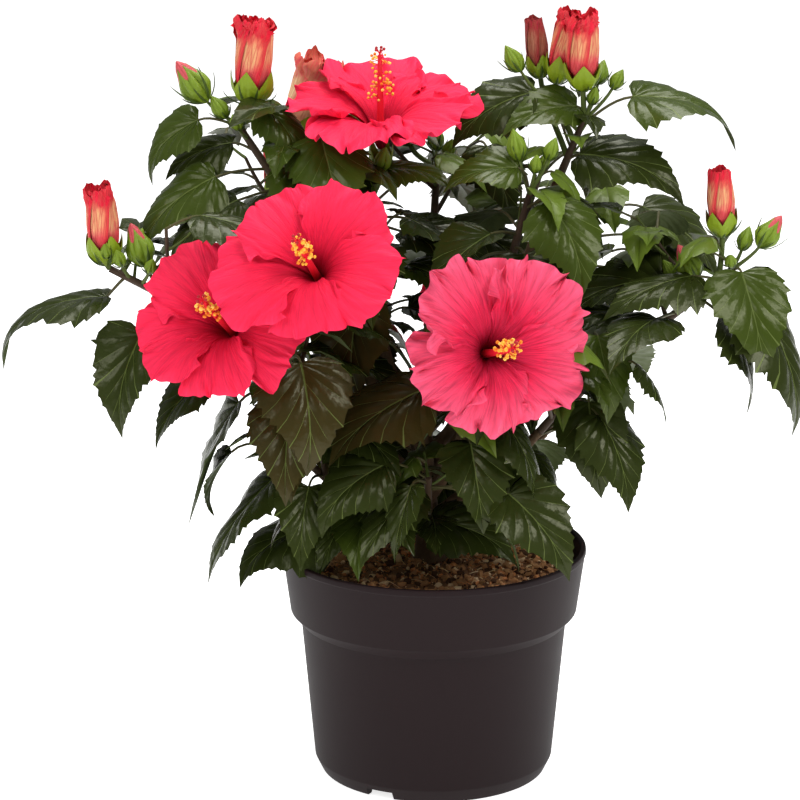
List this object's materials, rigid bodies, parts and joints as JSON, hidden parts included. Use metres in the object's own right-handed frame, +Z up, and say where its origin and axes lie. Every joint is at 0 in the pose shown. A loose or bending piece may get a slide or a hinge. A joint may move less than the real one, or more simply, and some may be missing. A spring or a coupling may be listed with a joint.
{
  "type": "potted hibiscus shrub",
  "caption": "Hibiscus shrub in a round nursery pot: short trunk, spreading leafy boughs, open ruffled flowers, rolled flowers and buds.",
  "frame": {"origin": "middle of the pot's flat underside", "axes": "+Z up along the pot's axis, +X to the right and -Y to the front, where the large open flowers face"},
  "size_m": [0.4805, 0.3457, 0.4835],
  "materials": {
    "pot": "dark brown-grey moulded plastic, matte",
    "soil": "moist brown peat with crumbs and fibres, rough",
    "bark": "smooth grey-brown young bark with small pores",
    "leaf": "dark green glossy leaf with paler veins",
    "petal": "coral red ruffled petal, satin",
    "rolled": "peach and red rolled petals in a green calyx, satin"
  },
  "bodies": {
    "root": {"pot": "pot", "soil": "soil", "trunk": "bark", "bough_left": "bark", "bough_upper_left": "bark", "bough_top": "bark", "bough_upper_right": "bark", "bough_centre_right": "bark", "bough_right": "bark", "bough_front_left": "bark", "bough_front_right": "bark", "bough_low_right": "bark", "bough_low_left": "bark", "bough_low_front": "bark", "bough_low_back_left": "bark", "bough_low_back_right": "bark", "bough_low_back": "bark", "bough_back_left": "bark", "bough_back_right": "bark", "bough_back_top": "bark", "foliage_left": "leaf", "foliage_upper_left": "leaf", "foliage_top": "leaf", "foliage_upper_right": "leaf", "foliage_centre_right": "leaf", "foliage_right": "leaf", "foliage_front_left": "leaf", "foliage_front_right": "leaf", "foliage_low_right": "leaf", "foliage_low_left": "leaf", "foliage_low_front": "leaf", "foliage_low_back_left": "leaf", "foliage_low_back_right": "leaf", "foliage_low_back": "leaf", "foliage_back_left": "leaf", "foliage_back_right": "leaf", "foliage_back_top": "leaf", "bloom_front_right": "petal", "bloom_front_upper": "petal", "bloom_front_left": "petal", "bloom_top": "petal", "bloom_back": "petal", "rolled_upper_left": "rolled", "rolled_left": "rolled", "rolled_upper_right": "rolled", "rolled_upper_right_small": "rolled", "rolled_upper_right_brown": "rolled", "rolled_right": "rolled", "rolled_behind_top": "rolled", "rolled_back_left": "rolled", "rolled_back_top": "rolled"}
  },
  "joints": []
}
